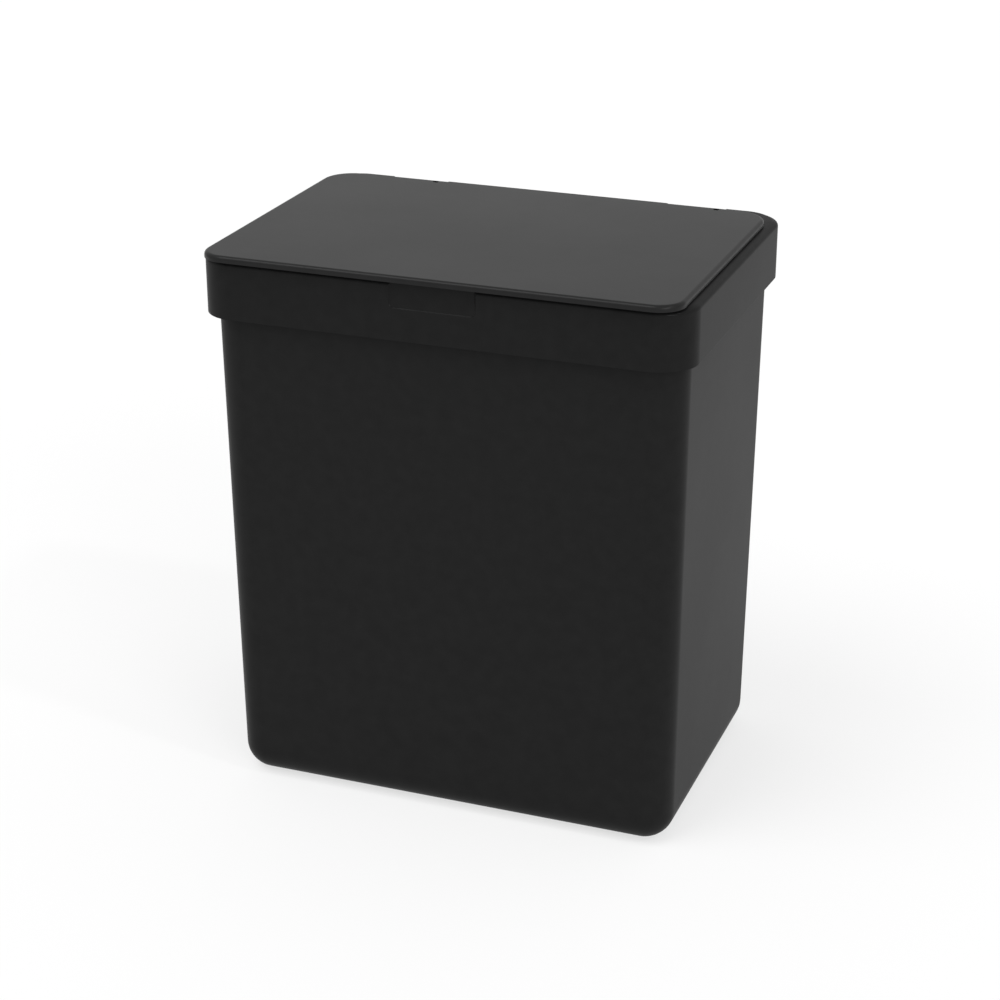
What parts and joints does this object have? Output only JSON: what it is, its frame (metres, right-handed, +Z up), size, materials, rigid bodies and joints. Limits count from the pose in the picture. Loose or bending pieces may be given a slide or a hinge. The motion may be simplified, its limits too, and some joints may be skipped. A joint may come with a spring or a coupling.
{
  "type": "countertop waste bin",
  "caption": "Small tapered waste bin: a round-cornered bucket, a lift-off rim frame that traps the bag, and a flat flip lid hinged at the back.",
  "frame": {"origin": "centre of the bucket's base, on the plane it stands on", "axes": "+X to the right along the hinge, +Y to the back where the hinge is, +Z up; the front with the finger recess faces -Y"},
  "size_m": [0.23, 0.1672, 0.2668],
  "materials": {
    "bucket_plastic": "black polypropylene with a fine satin moulded face",
    "frame_plastic": "black polypropylene with a fine satin moulded face",
    "lid_plastic": "black polypropylene with a satin face",
    "pin_plastic": "smooth black acetal"
  },
  "bodies": {
    "bucket": {"bucket": "bucket_plastic"},
    "frame": {"rim_frame": "frame_plastic", "hinge_pin_left": "pin_plastic", "hinge_pin_right": "pin_plastic"},
    "lid": {"lid": "lid_plastic"}
  },
  "joints": [
    {"name": "frame_lift", "type": "slide", "parent": "bucket", "child": "frame", "axis": [0, 0, 1], "range_m": [0, 0.04]},
    {"name": "lid_hinge", "type": "hinge", "parent": "frame", "child": "lid", "pos_m": [0, 0.0734, 0.2591], "axis": [-1, 0, 0], "range_deg": [0, 100]}
  ]
}
